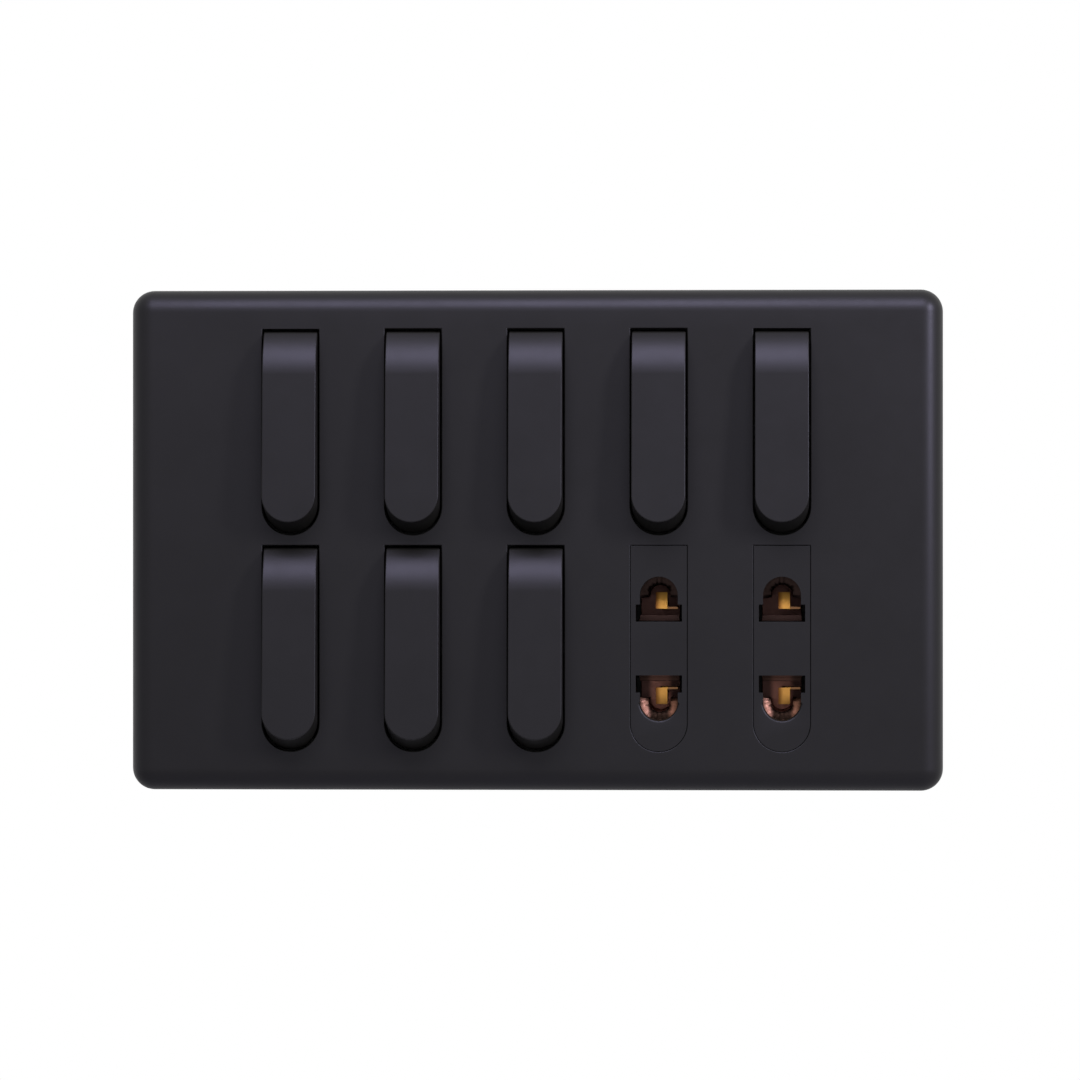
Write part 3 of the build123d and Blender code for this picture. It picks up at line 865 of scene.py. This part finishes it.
plate_low, plate_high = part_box("front_plate")
cover = block("cover_plate", plate_low, plate_high)
pick(cover, "EDGE", lambda edge: at(edge, 1, plate_low.y) or not at(edge, 1, edge.verts[0].co.y))
bpy.ops.mesh.bevel(offset=EDGE_R, segments=12, affect="EDGES", clamp_overlap=False)
put_down()
inside = Vector((plate_high.x - SKIRT_T, 0, plate_high.z - SKIRT_T))
hollow = block("hollow", (-inside.x, plate_low.y + FRONT_T, -inside.z), (inside.x, MM, inside.z))
pick(hollow, "EDGE", lambda edge: not at(edge, 1, edge.verts[0].co.y))
bpy.ops.mesh.bevel(offset=EDGE_R - SKIRT_T, segments=5, affect="EDGES")
put_down()
combine(cover, hollow, "DIFFERENCE")
opening = d_block("opening", (-OPENING_W / 2, plate_low.y - MM, -OPENING_L / 2),
                  (OPENING_W / 2, plate_low.y + FRONT_T + MM, OPENING_L / 2), 20)
openings = [twin(opening, "one_opening", Matrix.Translation(middle_of(node))) for node in all_bases]
opening.data.clear_geometry()
combine(cover, joined([opening] + openings), "DIFFERENCE")
pry = block("pry", (-PRY_W / 2, -PRY_D, plate_low.z - MM), (PRY_W / 2, MM, -inside.z + PRY_OVERLAP))
combine(cover, pry, "DIFFERENCE")
edging(cover, COVER_EDGE, 3, sharper_than=30)

hooks = []
for x in (-HOOK_X, HOOK_X):
    for end in (-1, 1):
        tip = end * (inside.z - HOOK_REACH)
        z_low, z_high = sorted((tip, end * (inside.z + HOOK_ROOT)))
        hook = block("hook", (x - HOOK_W / 2, HOOK_FRONT, z_low),
                     (x + HOOK_W / 2, HOOK_BACK, z_high))
        pick(hook, "EDGE", lambda edge: at(edge, 1, HOOK_BACK) and at(edge, 2, tip))
        bpy.ops.mesh.bevel(offset=HOOK_LEAD, segments=1, affect="EDGES")
        put_down()
        edging(hook, HOOK_EDGE, 2)
        hooks.append(hook)
joined([cover] + hooks)
cover.data.materials.clear()
cover.data.materials.append(satin_black)
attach(cover, "plate")
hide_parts("front_plate")


# Studio: a pale floor below the hanging plate, a large soft panel above, a tall narrow one on the
# right, and a white surround. Eye, gloss and glass see the surround at full white, and the floor
# fades into it with distance.

FLOOR_Z = -0.25
FLOOR_SIZE = 2.4
FADE_START = 0.35
FADE_END = 1.1
WHITE_NEAR = 0.4
CARD_CLOUD = 40 * MM
CARD_DARK = (0.63, 0.63, 0.625)
CARD_PALE = (0.66, 0.66, 0.655)
WHITE = (1, 1, 1, 1)
SURROUND = 0.20


def looked_at(wire):
    eye, gloss, glass = [wire.node("LightPath", {}, {}, "Is %s Ray" % kind)
                         for kind in ("Camera", "Glossy", "Transmission")]
    return wire.maths("MAXIMUM", eye, wire.maths("MAXIMUM", gloss, glass))


def pale_card(name):
    material, wire, place = blank_material(name)
    colour = mixed(wire, noise(wire, place, CARD_CLOUD), CARD_DARK, CARD_PALE)
    values = {"Base Color": colour, "Roughness": 0.9, "Specular IOR Level": 0.1}
    lit = wire.node("BsdfPrincipled", {}, values)
    white = wire.node("Emission", {}, {"Color": WHITE, "Strength": 1.0})
    away = wire.node("VectorMath", {"operation": "LENGTH"}, {0: place}, "Value")
    fading = band(wire, away, (FADE_START, FADE_END))
    whiteness = WHITE_NEAR + (1 - WHITE_NEAR) * fading
    surface = wire.node("MixShader", {}, {0: whiteness * looked_at(wire), 1: lit, 2: white})
    wire.node("OutputMaterial", {}, {"Surface": surface})
    return material


def soft_panel(name, place, size, power, colour):
    bpy.ops.object.light_add(type="AREA", location=place)
    lamp = bpy.context.object
    lamp.name = name
    lamp.data.shape = "RECTANGLE"
    lamp.data.size, lamp.data.size_y = size
    lamp.data.energy = power
    lamp.data.color = colour
    lamp.rotation_euler = (-Vector(place)).to_track_quat("-Z", "Y").to_euler()


bpy.ops.object.select_all(action="DESELECT")
bpy.ops.mesh.primitive_plane_add(size=FLOOR_SIZE, location=(0, 0, FLOOR_Z))
floor = bpy.context.object
floor.name = "floor"
floor.data.materials.append(pale_card("pale card"))

soft_panel("top panel", place=(0, -0.333, 0.371), size=(0.42, 0.24), power=3.7,
           colour=(0.89, 0.86, 1.0))
soft_panel("right panel", place=(0.42, -0.295, 0.185), size=(0.08, 0.22), power=3.2,
           colour=(0.92, 0.90, 1.0))

world = bpy.data.worlds.new("white surround")
bpy.context.scene.world = world
world.use_nodes = True
world.node_tree.nodes.clear()
air = Wire(world.node_tree)
strength = SURROUND + (1 - SURROUND) * looked_at(air)
backing = air.node("Background", {}, {"Color": WHITE, "Strength": strength})
air.node("OutputWorld", {}, {"Surface": backing})


# Camera: level with the plate's middle, a metre away and slightly to the right of square.
# Its lens gives the photograph's frame a width of 194.5 mm at the depth of the plate's outline.

CAMERA_YAW = radians(2.5)
CAMERA_RUN = 1.0
FRAME_WIDTH = 0.1945
OUTLINE_DEPTH = 4 * MM
AIM = Vector((0.76 * MM, -9.5 * MM, 0.02 * MM))

bpy.ops.object.camera_add()
camera = bpy.context.object
camera.data.lens = camera.data.sensor_width * (CAMERA_RUN + OUTLINE_DEPTH) / FRAME_WIDTH
back = Vector((sin(CAMERA_YAW), -cos(CAMERA_YAW), 0))
camera.location = AIM + CAMERA_RUN * back
camera.rotation_euler = (-back).to_track_quat("-Z", "Y").to_euler()
camera.data.clip_start = 0.05
camera.data.clip_end = 20
bpy.context.scene.camera = camera
bpy.context.scene.view_settings.view_transform = "Standard"
